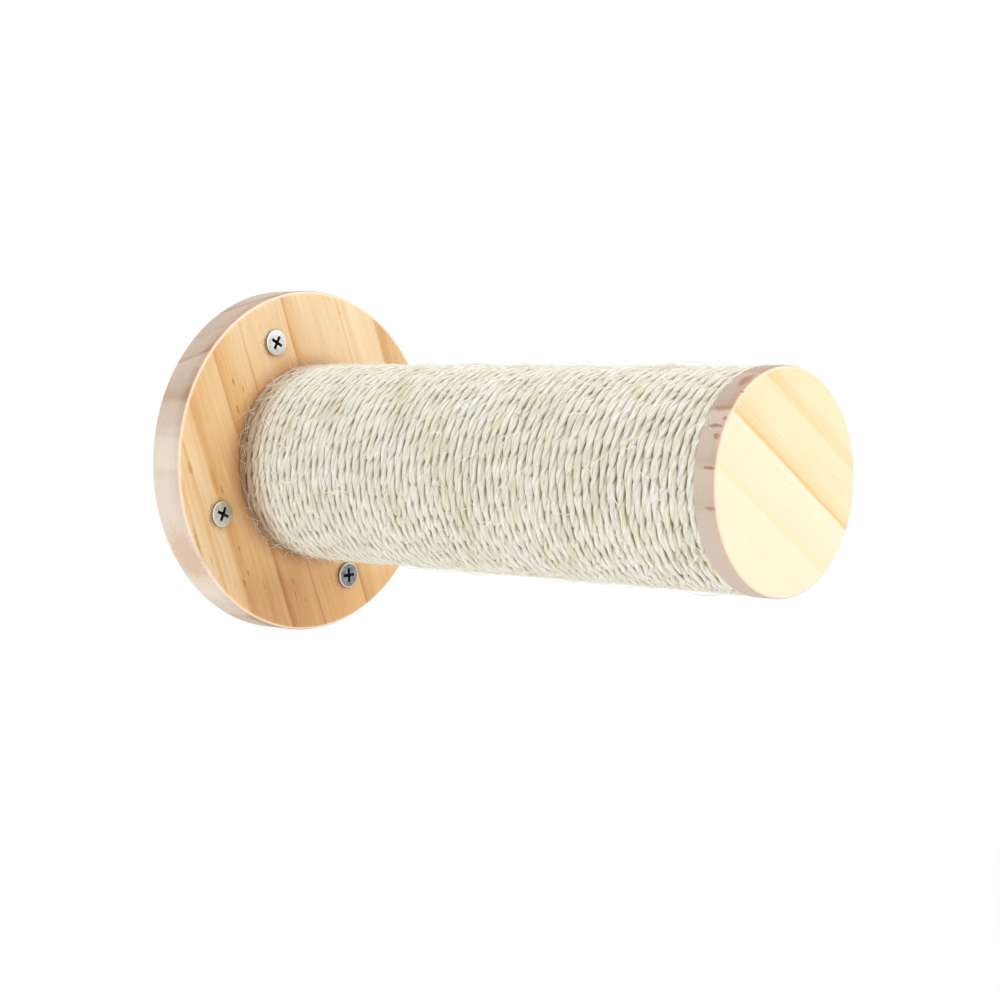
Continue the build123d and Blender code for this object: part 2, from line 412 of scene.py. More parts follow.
def straight_twine(sizes, name, length):
    """The section twisted up along Z, with a seamless UV: round the strands, and metres along."""
    obj = twine_section(name, sizes)
    lay = length / sizes.lays_in_ten_turns
    apply_modifier(
        obj, "SCREW", axis="Z", angle=math.radians(360), screw_offset=lay,
        iterations=sizes.lays_in_ten_turns, steps=RINGS_IN_LAY, render_steps=RINGS_IN_LAY,
        use_smooth_shade=True, use_normal_calculate=True,
    )
    face_outwards(obj, close=True)
    mesh = obj.data
    co = read_all(mesh.vertices, "co", float, 3).reshape(-1, 3)
    round_share = (np.arctan2(co[:, 1], co[:, 0]) / (2 * math.pi) - co[:, 2] / lay) % 1.0
    round_share = np.round(round_share * SECTION_POINTS) / SECTION_POINTS % 1.0
    loops = read_all(mesh.loops, "vertex_index", np.int32)
    totals = read_all(mesh.polygons, "loop_total", np.int32)
    starts = read_all(mesh.polygons, "loop_start", np.int32)
    u = round_share[loops]
    for start in starts[totals == 4]:
        part = u[start : start + 4]
        if part.max() - part.min() > 0.5:
            part[part < 0.5] += 1.0
    uv = mesh.uv_layers.new(name="twine")
    uv.data.foreach_set("uv", np.column_stack([u, co[loops, 2]]).ravel())
    return obj, co


def level_turns(turns):
    """Whole turns that lie level, each stepping over to the next in its last fifth."""
    return np.floor(turns) + ease((turns % 1.0 - 0.8) / 0.2)


def twine_middle(sizes, distance):
    """Angle, distance out and radius of the wound twine's middle at each distance along it."""
    radius = twine_circle(sizes)
    turns = np.clip(distance / (2 * math.pi * radius), 0, sizes.turns)
    half = sizes.twine_dia * 0.5
    start = sizes.plate_thick + half + 0.02 * MM
    run = sizes.post_length - 2 * half - 0.04 * MM
    angle = FIRST_TURN_ANGLE + 2 * math.pi * turns
    rear = ease(1.0 - turns / LEVEL_TURNS)
    front = ease(1.0 - (sizes.turns - turns) / LEVEL_TURNS)
    place = rear * level_turns(turns)
    place += front * (sizes.turns - 1 - level_turns(sizes.turns - turns))
    place += (1 - rear - front) * (turns - 0.5)
    out = start + run * place / (sizes.turns - 1)
    free = np.clip((np.minimum(turns, sizes.turns - turns) - 0.8) / 1.5, 0, 1)
    drift = 0.10 * MM * np.sin(angle + 0.4 * np.sin(turns * 0.31))
    drift += 0.08 * MM * np.sin(angle * 2.0 + 1.1 + turns * 0.17)
    drift += wander(distance, 11, (0.035, 0.09), 0.045 * MM)
    lift = wander(distance, 12, (0.03, 0.11), 0.05 * MM)
    return angle, out + drift * free, radius + lift


def lay_on_post(obj, co, sizes, before):
    """Bend straight twine round the post from the given distance along the whole winding."""
    dia = sizes.twine_dia
    across, up, along = co[:, 0].copy(), co[:, 1].copy(), co[:, 2] + before
    thick = 1.0 + wander(along, 21, (0.012, 0.04), 0.05)
    untwist = wander(along, 22, (0.008, 0.02), 0.24)
    turn_x, turn_y = np.cos(untwist), np.sin(untwist)
    across, up = (across * turn_x - up * turn_y) * thick, (across * turn_y + up * turn_x) * thick
    half = dia * 0.497
    limit = half * 0.8
    spare = np.maximum(np.abs(across) - limit, 0)
    across = np.sign(across) * (np.minimum(np.abs(across), limit) + spare * 0.75)
    across = np.clip(across, -half, half)
    shoulder = np.clip(np.abs(across) / half, 0, 1) ** 2 * np.clip(up / (0.2 * dia) + 0.6, 0, 1)
    up = np.minimum(up + shoulder * 0.13 * dia, dia * 0.5)
    up = np.clip(up * 0.96, -dia * 0.43, None)
    squeezed = np.clip(-up / (0.22 * dia), 0, 1) * 0.85 * (np.abs(across) > half * 0.35)
    across += (np.sign(across) * half * 1.05 - across) * squeezed
    # How deep each point lies below the twine's crest; the twine's material paints shade from it.
    gap = obj.data.attributes.new("gap_depth", "FLOAT", "POINT")
    gap.data.foreach_set("value", np.clip(1.0 - up / (0.45 * dia), 0, 1))
    whole = sizes.turns * 2 * math.pi * twine_circle(sizes)
    slide = wander(along, 31, (0.025, 0.06, 0.17), 1.4 * MM)
    slide *= np.clip(np.minimum(along, whole - along) / 0.02, 0, 1)
    angle, out, radius = twine_middle(sizes, along + slide)
    reach = radius + up
    place = np.column_stack([reach * np.cos(angle), -(out + across), reach * np.sin(angle)])
    obj.data.vertices.foreach_set("co", place.ravel())
    obj.data.update()


# Loose fibres


def fibre_model():
    """One fibre as a thin three-sided spike, cut across in even steps."""
    obj = add_shape(
        bpy.ops.mesh.primitive_cone_add, "fibre_model", vertices=3, radius1=1.0, radius2=0.3,
        depth=1.0, end_fill_type="NGON", location=(0, 0, 0.5),
    )
    for height in (0.17, 0.34, 0.5, 0.67, 0.84):
        edit_all(obj)
        bpy.ops.mesh.bisect(plane_co=(0, 0, height), plane_no=(0, 0, 1))
    face_outwards(obj)
    return obj


def either_way(middle, spread):
    return lambda rng: rng.gauss(middle, spread) + rng.choice((0, math.pi))


def fibre_kinds(sizes):
    """How many fibres of each kind, where they start, and the ranges of their shapes in mm."""
    first = sizes.plate_thick + 1.0 * MM
    last = sizes.plate_thick + sizes.post_length - 1.0 * MM
    beside_plate = (first + 0.5 * MM, first + 4.0 * MM)
    return (
        dict(
            count=sizes.flat_fibres, span=(first, last), heading=either_way(0.25, 0.35), bend=0.5,
            depth=(0.0, 0.35), length=(4, 11), lift=(0.05, 0.5), power=2.0, thick=(0.06, 0.11),
        ),
        dict(
            count=sizes.raised_fibres, span=(first, last), heading=either_way(0.3, 0.6), bend=1.1,
            depth=(0.1, 0.5), length=(3.5, 9), lift=(0.6, 2.6), power=1.4, thick=(0.045, 0.075),
        ),
        dict(
            count=sizes.long_fibres, span=(first, last), heading=lambda rng: rng.uniform(0, 2 * math.pi),
            bend=1.3, depth=(0.0, 0.3), length=(6, 16), lift=(0.2, 1.3), power=0.0, thick=(0.12, 0.19),
        ),
        dict(
            count=sizes.rear_fibres, span=beside_plate, heading=lambda rng: rng.gauss(-math.pi / 2, 0.7),
            bend=2.2, depth=(0.0, 0.6), length=(4, 12), lift=(1.0, 5.0), power=1.2, thick=(0.05, 0.09),
        ),
    )


def fibre_line(rng, kind, sizes, steps):
    """The line of one loose fibre on the winding, from its root to its tip, and its thickness."""
    angle = rng.uniform(0, 2 * math.pi)
    out = rng.uniform(*kind["span"])
    root = sizes.tube_dia / 2 + sizes.twine_dia * 0.90 - rng.uniform(*kind["depth"]) * MM
    heading = kind["heading"](rng)
    way = heading + rng.gauss(0, kind["bend"]) * steps
    step = rng.uniform(*kind["length"]) * MM / FIBRE_STEPS
    lift = rng.uniform(*kind["lift"]) * MM
    thick = rng.uniform(*kind["thick"]) * MM
    tangential = np.concatenate([[0], np.cumsum(np.cos(way[:-1]) * step)])
    outward = np.concatenate([[0], np.cumsum(np.sin(way[:-1]) * step)])
    rise = steps ** kind["power"] if kind["power"] else np.sin(steps * math.pi) ** 0.8
    out = np.maximum(out + outward, sizes.plate_thick + 0.25 * MM)
    over_cap = np.clip((out - sizes.plate_thick - sizes.post_length) / (1.0 * MM), 0, 1)
    radius = np.maximum(root + lift * rise, over_cap * (sizes.cap_dia / 2 + 0.2 * MM))
    angle += tangential / root
    return np.column_stack([radius * np.cos(angle), -out, radius * np.sin(angle)]), thick


def along_line(line, steps, share):
    share = np.clip(share, 0, 1)
    return np.column_stack([np.interp(share, steps, line[:, axis]) for axis in range(3)])


def unit(vectors):
    return vectors / np.linalg.norm(vectors, axis=1)[:, None]


def lay_fibres(model, sizes):
    """Bend a copy of the fibre along each line and keep them all as one mesh."""
    rng = random.Random(7)
    base = np.array([vert.co[:] for vert in model.data.vertices])
    faces = [list(poly.vertices) for poly in model.data.polygons]
    t = base[:, 2]
    steps = np.linspace(0, 1, FIBRE_STEPS + 1)
    coords, polygons = [], []
    for kind in fibre_kinds(sizes):
        for _ in range(kind["count"]):
            line, thick = fibre_line(rng, kind, sizes, steps)
            middle, ahead, behind = (along_line(line, steps, t + shift) for shift in (0, 0.05, -0.05))
            tangent = unit(ahead - behind)
            side = unit(np.cross(tangent, middle * [1, 0, 1]))
            other = np.cross(tangent, side)
            start = len(coords) * len(base)
            coords.append(middle + side * base[:, :1] * thick + other * base[:, 1:2] * thick)
            polygons += [[start + i for i in face] for face in faces]
    mesh = bpy.data.meshes.new("loose_fibres")
    mesh.from_pydata(np.concatenate(coords).tolist(), [], polygons)
    mesh.update()
    obj = bpy.data.objects.new("loose_fibres", mesh)
    bpy.context.collection.objects.link(obj)
    bpy.data.objects.remove(model)
    return obj


# Materials


class Nodes:
    """Adds and links the nodes of one material or group."""

    def __init__(self, tree):
        self.tree = tree

    def add(self, kind, settings=None, **inputs):
        node = self.tree.nodes.new(kind)
        for key, value in (settings or {}).items():
            setattr(node, key, value)
        for key, value in inputs.items():
            self.feed(node, key.replace("_", " "), value)
        return node

    def feed(self, node, key, value):
        """Link or set one input, given by its label, or by i and its number."""
        socket = node.inputs[int(key[1:]) if key[1:].isdigit() else key]
        if isinstance(value, bpy.types.NodeSocket):
            self.tree.links.new(value, socket)
        else:
            socket.default_value = value

    def math(self, operation, a, b=0.0, c=0.0, clamp=False):
        settings = {"operation": operation, "use_clamp": clamp}
        return self.add("ShaderNodeMath", settings, i0=a, i1=b, i2=c).outputs[0]

    def times(self, a, b):
        return self.math("MULTIPLY", a, b)

    def plus(self, a, b, clamp=False):
        return self.math("ADD", a, b, clamp=clamp)

    def minus(self, a, b, clamp=False):
        return self.math("SUBTRACT", a, b, clamp=clamp)

    def times_plus(self, a, b, c):
        return self.math("MULTIPLY_ADD", a, b, c)

    def distance(self, a, b):
        return self.math("SQRT", self.plus(self.times(a, a), self.times(b, b)))

    def vector(self, operation, a, b=(0, 0, 0)):
        return self.add("ShaderNodeVectorMath", {"operation": operation}, i0=a, i1=b).outputs[0]

    def scaled(self, a, scale):
        return self.add("ShaderNodeVectorMath", {"operation": "SCALE"}, i0=a, Scale=scale).outputs[0]

    def place(self):
        return self.add("ShaderNodeTexCoord").outputs["Object"]

    def attribute(self, name):
        return self.add("ShaderNodeAttribute", {"attribute_name": name}).outputs["Fac"]

    def combine(self, x=0.0, y=0.0, z=0.0):
        return self.add("ShaderNodeCombineXYZ", X=x, Y=y, Z=z).outputs[0]

    def split(self, value):
        return self.add("ShaderNodeSeparateXYZ", Vector=value).outputs

    def turn_about_y(self, value, angle):
        node = self.add("ShaderNodeVectorRotate", {"rotation_type": "AXIS_ANGLE"}, Vector=value)
        self.feed(node, "Axis", (0, 1, 0))
        self.feed(node, "Angle", angle)
        return node.outputs[0]

    def mix(self, share, a, b):
        node = self.add("ShaderNodeMix", {"data_type": "RGBA"}, i0=share, i6=a, i7=b)
        return node.outputs[2]

    def tint(self, colour, towards, share, most=1.0):
        """Paint over a colour where share is high, up to the given most."""
        if most != 1.0:
            share = self.times(share, most)
        return self.mix(share, colour, paint(towards))

    def range(self, value, low, high, new_low=0.0, new_high=1.0, smooth=True):
        kind = "SMOOTHSTEP" if smooth else "LINEAR"
        return self.add(
            "ShaderNodeMapRange", {"interpolation_type": kind}, Value=value,
            From_Min=low, From_Max=high, To_Min=new_low, To_Max=new_high,
        ).outputs[0]

    def ramp(self, value, stops):
        node = self.add("ShaderNodeValToRGB", Fac=value)
        elements = node.color_ramp.elements
        elements.remove(elements[0])
        elements[0].position = stops[0][0]
        elements[0].color = paint(stops[0][1])
        for position, colour in stops[1:]:
            elements.new(position).color = paint(colour)
        return node.outputs[0]

    def noise(self, vector, scale, detail=2.0, roughness=0.5, distortion=0.0):
        return self.add(
            "ShaderNodeTexNoise", Vector=vector, Scale=scale, Detail=detail,
            Roughness=roughness, Distortion=distortion,
        ).outputs["Fac"]

    def group(self, name, **inputs):
        node = self.add("ShaderNodeGroup", {"node_tree": bpy.data.node_groups[name]}, **inputs)
        return node.outputs

    def finish(self, shader, colour, rough, height=None, depth=0.0, strength=0.5):
        self.feed(shader, "Base Color", colour)
        self.feed(shader, "Roughness", rough)
        if height is not None:
            bump = self.add("ShaderNodeBump", Strength=strength, Distance=depth, Height=height)
            self.feed(shader, "Normal", bump.outputs[0])


def linear(value):
    return value / 12.92 if value <= 0.04045 else ((value + 0.055) / 1.055) ** 2.4


def paint(colour):
    """A grey from one number, or a colour as it shows on screen, from 0 to 255 for each part."""
    if isinstance(colour, (int, float)):
        return (colour, colour, colour, 1.0)
    return tuple(linear(part / 255) for part in colour) + (1.0,)


def chosen(name):
    """A colour of the panel, from 0 to 255 for each part."""
    return tuple(part * 255 for part in getattr(bpy.context.scene.post_colours, name))


def new_group(name, inputs, outputs):
    """A node group whose sockets are given with a default: a number, or None for a place."""
    tree = bpy.data.node_groups.new(name, "ShaderNodeTree")
    for side, sockets in (("INPUT", inputs), ("OUTPUT", outputs)):
        for key, value in sockets.items():
            kind = "NodeSocketFloat" if isinstance(value, float) else "NodeSocketVector"
            socket = tree.interface.new_socket(name=key, in_out=side, socket_type=kind)
            if value is not None:
                socket.default_value = value
    start = tree.nodes.new("NodeGroupInput")
    end = tree.nodes.new("NodeGroupOutput")
    return Nodes(tree), start.outputs, end


def make_board_group():
    """Places in a sawn board: across its growth rings, through it and along its grain, in mm."""
    nodes, given, end = new_group(
        "board_grain",
        {
            "Vector": None, "Across Angle": 0.0, "Front": -14.0,
            "Tilt": 0.6, "Tilt Change": 0.03, "Wave": 1.0,
        },
        {"Across": 0.0, "Board": None},
    )
    turned_place = nodes.turn_about_y(nodes.scaled(given["Vector"], 1000.0), given["Across Angle"])
    x, y, z = nodes.split(turned_place)
    slope = nodes.times_plus(x, given["Tilt Change"], given["Tilt"])
    slope = nodes.math("MINIMUM", nodes.math("MAXIMUM", slope, 0.0), 2.2)
    ring = nodes.times_plus(nodes.minus(y, given["Front"]), slope, x)
    sway = nodes.noise(nodes.combine(nodes.times(x, 0.02), 0.0, nodes.times(z, 0.022)), 1.0)
    sway = nodes.times(nodes.minus(sway, 0.5), 6.0)
    ring = nodes.times_plus(sway, given["Wave"], ring)
    nodes.feed(end, "Across", ring)
    nodes.feed(end, "Board", nodes.combine(ring, y, z))


def make_fibre_group():
    """Fine wood fibres, drawn out along the grain, and the short dark dashes between them."""
    nodes, given, end = new_group(
        "wood_fibres", {"Board": None, "Fineness": 1.0}, {"Streaks": 0.0, "Dashes": 0.0, "Clouds": 0.0}
    )
    scaled = nodes.scaled(given["Board"], given["Fineness"])

    def drawn_out(along, *settings):
        return nodes.noise(nodes.vector("MULTIPLY", scaled, (1.0, 1.0, along)), *settings)

    coarse = drawn_out(0.03, 0.95, 3.0, 0.6)
    fine = drawn_out(0.045, 2.6, 4.0, 0.62)
    nodes.feed(end, "Streaks", nodes.times_plus(fine, 0.45, nodes.times(coarse, 0.55)))
    nodes.feed(end, "Dashes", nodes.range(drawn_out(0.13, 1.25, 1.0, 0.4), 0.715, 0.79))
    nodes.feed(end, "Clouds", drawn_out(0.3, 0.07, 3.0, 0.55))


def make_spot_group():
    """A spot with a ragged edge round a place on the object, turned and drawn out."""
    nodes, given, end = new_group(
        "small_mark", {"Vector": None, "Place": None, "Size": (1.0, 1.0, 1.0), "Turn": 0.0}, {"Mark": 0.0}
    )
    where = nodes.scaled(given["Vector"], 1000.0)
    away = nodes.turn_about_y(nodes.vector("SUBTRACT", where, given["Place"]), given["Turn"])
    shrunk = nodes.vector("DIVIDE", away, given["Size"])
    length = nodes.add("ShaderNodeVectorMath", {"operation": "LENGTH"}, i0=shrunk).outputs["Value"]
    wobble = nodes.noise(where, 1.1, 3.0, 0.7)
    length = nodes.times_plus(nodes.minus(wobble, 0.5), 1.6, length)
    nodes.feed(end, "Mark", nodes.range(length, 1.0, 0.4))


def make_twine_group():
    """Sisal fibres along a strand, its soft colour changes, its dark specks and the grooves."""
    nodes, given, end = new_group(
        "sisal_fibres",
        {"Strand": None, "Twist": 0.0},
        {"Fibres": 0.0, "Hairs": 0.0, "Tone": 0.0, "Specks": 0.0, "Groove": 0.0},
    )
    u, v, _ = nodes.split(given["Strand"])
    along = nodes.times(v, 1000.0)
    angle = nodes.times(u, 2 * math.pi)
    turned_angle = nodes.times_plus(along, given["Twist"], angle)
    ring_x = nodes.math("COSINE", turned_angle)
    ring_y = nodes.math("SINE", turned_angle)

    def fibres(width, length, detail, distortion):
        place = nodes.combine(
            nodes.times(ring_x, width), nodes.times(ring_y, width), nodes.times(along, length)
        )
        return nodes.noise(place, 1.0, detail, 0.6, distortion)

    nodes.feed(end, "Fibres", fibres(3.2, 0.34, 4.0, 0.5))
    nodes.feed(end, "Hairs", nodes.range(fibres(4.2, 0.24, 1.0, 0.6), 0.55, 0.64))
    nodes.feed(end, "Tone", fibres(0.9, 0.05, 3.0, 0.0))
    nodes.feed(end, "Specks", nodes.range(fibres(1.7, 0.3, 1.0, 0.0), 0.71, 0.77))
    wave = nodes.math("COSINE", nodes.times(angle, 3.0))
    nodes.feed(end, "Groove", nodes.math("POWER", nodes.minus(0.5, nodes.times(wave, 0.5)), 4.0))


def make_metal_group():
    """Fine drawn marks and dull clouds of plated steel."""
    nodes, given, end = new_group("plated_steel", {"Vector": None}, {"Marks": 0.0, "Clouds": 0.0})
    drawn = nodes.vector("MULTIPLY", given["Vector"], (1, 6, 1))
    nodes.feed(end, "Marks", nodes.noise(drawn, 2200.0, 3.0, 0.6))
    nodes.feed(end, "Clouds", nodes.noise(given["Vector"], 520.0, 3.0, 0.6))


def new_material(name):
    material = bpy.data.materials.new(name)
    material.use_nodes = True
    tree = material.node_tree
    tree.nodes.clear()
    nodes = Nodes(tree)
    shader = nodes.add("ShaderNodeBsdfPrincipled")
    output = nodes.add("ShaderNodeOutputMaterial")
    tree.links.new(shader.outputs[0], output.inputs["Surface"])
    return material, nodes, shader


def pine(name, board, rings, colours, face_shade, side, front, radius, marks):
    """Sawn pine: the board's own growth rings, fine fibres, a paler sawn rim and small marks, with
    painted shade, shadow, light and highlight by place on the face and rim.
    """
    material, nodes, shader = new_material(name)
    where = nodes.place()
    x, y, z = nodes.split(nodes.scaled(where, 1000.0))
    reach = nodes.distance(x, z)
    grain = nodes.group("board_grain", Vector=where, **board)
    fibre = nodes.group("wood_fibres", Board=grain["Board"])

    low, high = rings[0][0], rings[-1][0]
    ring = nodes.range(grain["Across"], low, high, smooth=False)
    ring = nodes.ramp(ring, [((at - low) / (high - low), dark) for at, dark in rings])
    dark = nodes.add("ShaderNodeRGBToBW", Color=ring).outputs[0]
    along = nodes.vector("MULTIPLY", grain["Board"], (0.03, 0.03, 0.012))
    dark = nodes.times(dark, nodes.range(nodes.noise(along, 1.0), 0.25, 0.75, 0.75, 1.2, smooth=False))
    dark = nodes.plus(dark, nodes.times(nodes.minus(fibre["Streaks"], 0.5), 0.62))
    dark = nodes.plus(dark, nodes.times(nodes.minus(fibre["Clouds"], 0.5), 0.35), clamp=True)
    # Painted shade darkens the face towards its bottom, except at its far left; painted light makes it
    # paler towards its top, most on the right.
    painted_shade_below = nodes.range(z, -30.0, -46.0, 0.0, face_shade["painted_shade_below"])
    painted_light_above = nodes.range(z, 15.0, 45.0, 0.0, face_shade["painted_light_above"])
    dark = nodes.plus(dark, nodes.times(painted_shade_below, nodes.range(x, -40.0, -12.0)))
    dark = nodes.minus(dark, nodes.times(painted_light_above, nodes.range(x, -10.0, 30.0, 0.4, 1.0)), clamp=True)
    face = nodes.ramp(dark, list(zip((0.0, 0.5, 1.0), colours)))
    face = nodes.tint(face, colours[2], fibre["Dashes"], 0.4)
    # Painted shadow: the face darkens in a ring where the post stands on it.
    beside_post = nodes.range(reach, 40.0, 34.0, 0.0, face_shade["beside_post"])
    on_face = nodes.range(y, front + 1.0, front + 0.1)
    face = nodes.tint(face, POST_SHADE, nodes.times(beside_post, on_face))

    middle = front * 0.55 + side["back"] * 0.45
    edge_dark = nodes.times(dark, nodes.range(y, front, middle, 0.95, 0.55))
    low, high, more = side["darker"]
    edge_dark = nodes.plus(edge_dark, nodes.range(grain["Across"], low, high, 0.0, more))
    # Painted shade darkens the rim towards its top, and painted light makes it paler towards its bottom.
    top = nodes.range(z, radius * 0.6, radius * 0.85, 0.0, side["top"])
    bottom = nodes.range(z, radius * -0.65, radius * -0.85, 0.0, side["low"])
    edge_dark = nodes.minus(nodes.plus(edge_dark, top), bottom)
    edge = nodes.ramp(edge_dark, list(zip((0.1, 0.45, 0.9), side["colours"])))
    # Painted light: the rim turns warmer near the face, as if lit round the rounded edge.
    edge = nodes.tint(edge, RIM_PAINTED_LIGHT, nodes.range(y, front + 2.8, front + 0.8, 0.0, side["painted_rim_light"]))
    rim = nodes.range(reach, radius - 0.9, radius - 0.15)
    colour = nodes.mix(rim, face, edge)
    # Painted highlight: a pale line along the rounded front edge.
    arris = nodes.times(
        nodes.range(reach, radius - 1.1, radius - 0.7), nodes.range(y, front + 1.0, front + 0.5)
    )
    arris = nodes.times(arris, nodes.minus(1.0, nodes.range(reach, radius - 0.3, radius - 0.1)))
    colour = nodes.tint(colour, side["arris_colour"], arris, side["arris"])
    for spot, size, turn, share, tint in marks:
        angle = math.radians(-turn)
        mark = nodes.group("small_mark", Vector=where, Place=spot, Size=size, Turn=angle)["Mark"]
        colour = nodes.tint(colour, tint, mark, share)

    rough = nodes.range(fibre["Streaks"], 0.3, 0.7, 0.46, 0.6)
    rough = nodes.plus(rough, nodes.times(rim, 0.18), clamp=True)
    height = nodes.times_plus(dark, 0.5, nodes.times(fibre["Streaks"], 0.5))
    height = nodes.minus(height, nodes.times(fibre["Dashes"], 0.6))
    nodes.finish(shader, colour, rough, height, 0.12 * MM)
    return material


def sisal(name):
    """Bleached sisal: streaky along its strands, paler hairs and brown specks, with painted shade in the
    grooves and gaps and painted light and shadow near the plate.
    """
    material, nodes, shader = new_material(name)
    strand = nodes.add("ShaderNodeUVMap", {"uv_map": "twine"}).outputs[0]
    marks = nodes.group("sisal_fibres", Strand=strand, Twist=-0.05)
    where = nodes.place()
    patch = nodes.noise(where, 70.0, 3.0, 0.6)
    tone = nodes.plus(nodes.times(marks["Tone"], 0.55), nodes.times(patch, 0.45))
    colour = nodes.ramp(tone, [(0.34, (232, 220, 192)), (0.48, chosen("sisal")), (0.64, (254, 253, 250))])
    dull = nodes.minus(1.0, nodes.range(marks["Fibres"], 0.34, 0.6))
    colour = nodes.tint(colour, (212, 198, 162), dull, 0.42)
    colour = nodes.tint(colour, (255, 254, 248), marks["Hairs"], 0.5)
    # Painted shade: tan where the twine lies deep between turns, darker olive in the grooves between
    # strands.
    gap = nodes.attribute("gap_depth")
    colour = nodes.tint(colour, (196, 174, 122), nodes.range(gap, 0.35, 1.0, 0.0, 0.5))
    groove = nodes.times(marks["Groove"], nodes.range(gap, 0.1, 0.8, 0.06, 0.58))
    colour = nodes.tint(colour, (146, 124, 64), groove)
    colour = nodes.tint(colour, (158, 116, 66), marks["Specks"], 0.55)
    _, y, z = nodes.split(nodes.scaled(where, 1000.0))
    # Painted light: a tan cast on the turns nearest the plate, as if bounced from it; then painted
    # shadow, darker towards the plate and more so low down.
    colour = nodes.tint(colour, (206, 164, 112), nodes.range(y, -29.0, -15.0, 0.0, 0.5, smooth=False))
    painted_shadow_at_plate = nodes.times(nodes.range(y, -27.0, -15.5), nodes.range(z, 30.0, 10.0, 0.35, 0.8))
    colour = nodes.tint(colour, (150, 108, 70), painted_shadow_at_plate)
    shader.inputs["Specular IOR Level"].default_value = 0.2
    rough = nodes.range(marks["Fibres"], 0.3, 0.7, 0.75, 0.92)
    height = nodes.times_plus(marks["Hairs"], 0.35, marks["Fibres"])
    nodes.finish(shader, colour, rough, height, 0.5 * MM, 0.9)
    return material


def loose_fibre(name):
    material, nodes, shader = new_material(name)
    tone = nodes.noise(nodes.place(), 90.0)
    colour = nodes.ramp(tone, [(0.3, (238, 226, 198)), (0.45, (253, 250, 238)), (0.75, (255, 255, 250))])
    nodes.finish(shader, colour, nodes.range(tone, 0.3, 0.7, 0.45, 0.65))
    return material


def plated_steel(name, bright, dull, rough, rim=None, socket=None):
    """Zinc plate with dull clouds; screws also have a painted highlight on the rim and painted shade in
    the socket.
    """
    material, nodes, shader = new_material(name)
    marks = nodes.group("plated_steel", Vector=nodes.place())
    colour = nodes.mix(nodes.range(marks["Clouds"], 0.3, 0.7), paint(dull), paint(bright))
    shader.inputs["Metallic"].default_value = 1.0
    if socket:
        zone = nodes.attribute("screw_zone")
        # Painted highlight on the head's rim, and painted shade in the socket, which is also made less
        # metallic.
        colour = nodes.tint(colour, rim, nodes.range(zone, 0.2, 0.4))
        colour = nodes.tint(colour, socket, nodes.range(zone, 0.6, 0.9))
        nodes.feed(shader, "Metallic", nodes.range(zone, 0.6, 0.9, 1.0, 0.3))
    rough = nodes.range(marks["Clouds"], 0.25, 0.75, rough, rough + 0.16)
    nodes.finish(shader, colour, rough, marks["Marks"], 0.02 * MM, 0.35)
    return material


def kraft(name):
    """Brown paper wound on in a slow spiral whose edges show as thin lines."""
    material, nodes, shader = new_material(name)
    where = nodes.scaled(nodes.place(), 1000.0)
    x, y, z = nodes.split(where)
    angle = nodes.math("DIVIDE", nodes.math("ARCTAN2", z, x), 2 * math.pi)
    spiral = nodes.math("FRACT", nodes.times_plus(y, 1 / 75, angle))
    seam = nodes.range(nodes.math("ABSOLUTE", nodes.minus(spiral, 0.5)), 0.49, 0.5)
    paper = nodes.group("wood_fibres", Board=where, Fineness=0.8)
    streaks = paper["Streaks"]
    colour = nodes.ramp(streaks, [(0.3, (140, 106, 70)), (0.6, (172, 134, 92)), (0.8, (190, 152, 108))])
    colour = nodes.tint(colour, (98, 70, 44), seam, 0.6)
    nodes.finish(shader, colour, nodes.range(paper["Clouds"], 0.3, 0.7, 0.8, 0.92), streaks, 0.08 * MM)
    return material


def plain_wood(name, colours, spacing, front):
    """Inner wood in even rings, for the plugs and the dowels."""
    material, nodes, shader = new_material(name)
    grain = nodes.group(
        "board_grain", Vector=nodes.place(), Across_Angle=0.5, Front=front, Tilt=0.1, Tilt_Change=0.0
    )
    streaks = nodes.group("wood_fibres", Board=grain["Board"], Fineness=1.4)["Streaks"]
    ring = nodes.math("FRACT", nodes.math("DIVIDE", grain["Across"], spacing))
    dark = nodes.plus(nodes.times(nodes.math("POWER", ring, 3.0), 0.5), nodes.times(streaks, 0.5))
    colour = nodes.ramp(dark, list(zip((0.15, 0.5, 0.9), colours)))
    nodes.finish(shader, colour, nodes.range(streaks, 0.3, 0.7, 0.6, 0.75), streaks, 0.1 * MM)
    return material


def material_for(name, make, **values):
    return bpy.data.materials.get(name) or make(name, **values)


# Finishes. Colours are as they show on screen, places and sizes are in mm.

# Colour of the painted light on the rim next to the face.
RIM_PAINTED_LIGHT = (230, 184, 150)
# Colour of the painted shadow round the post's foot on the plate's face.
POST_SHADE = (178, 104, 54)
# In these zincs, rim is a painted highlight on a head's rounded rim and socket is painted shade in its
# cross recess.
ZINC_BRIGHT = dict(
    bright=(232, 232, 230), dull=(205, 205, 204), rough=0.34, rim=(240, 240, 238), socket=(34, 29, 22)
)
# Zinc darker all over, for the third wall screw.
ZINC_DARKER = dict(
    bright=(158, 160, 162), dull=(112, 115, 118), rough=0.3, rim=(226, 228, 228), socket=(26, 24, 22)
)
STAPLE_WIRE = dict(bright=(206, 208, 210), dull=(172, 174, 178), rough=0.32)
PLUG_WOOD = dict(colours=((226, 196, 150), (208, 172, 122), (168, 126, 80)), spacing=2.6, front=-14.0)
BEECH = dict(colours=((222, 188, 150), (206, 168, 128), (176, 134, 96)), spacing=0.9, front=-200.0)

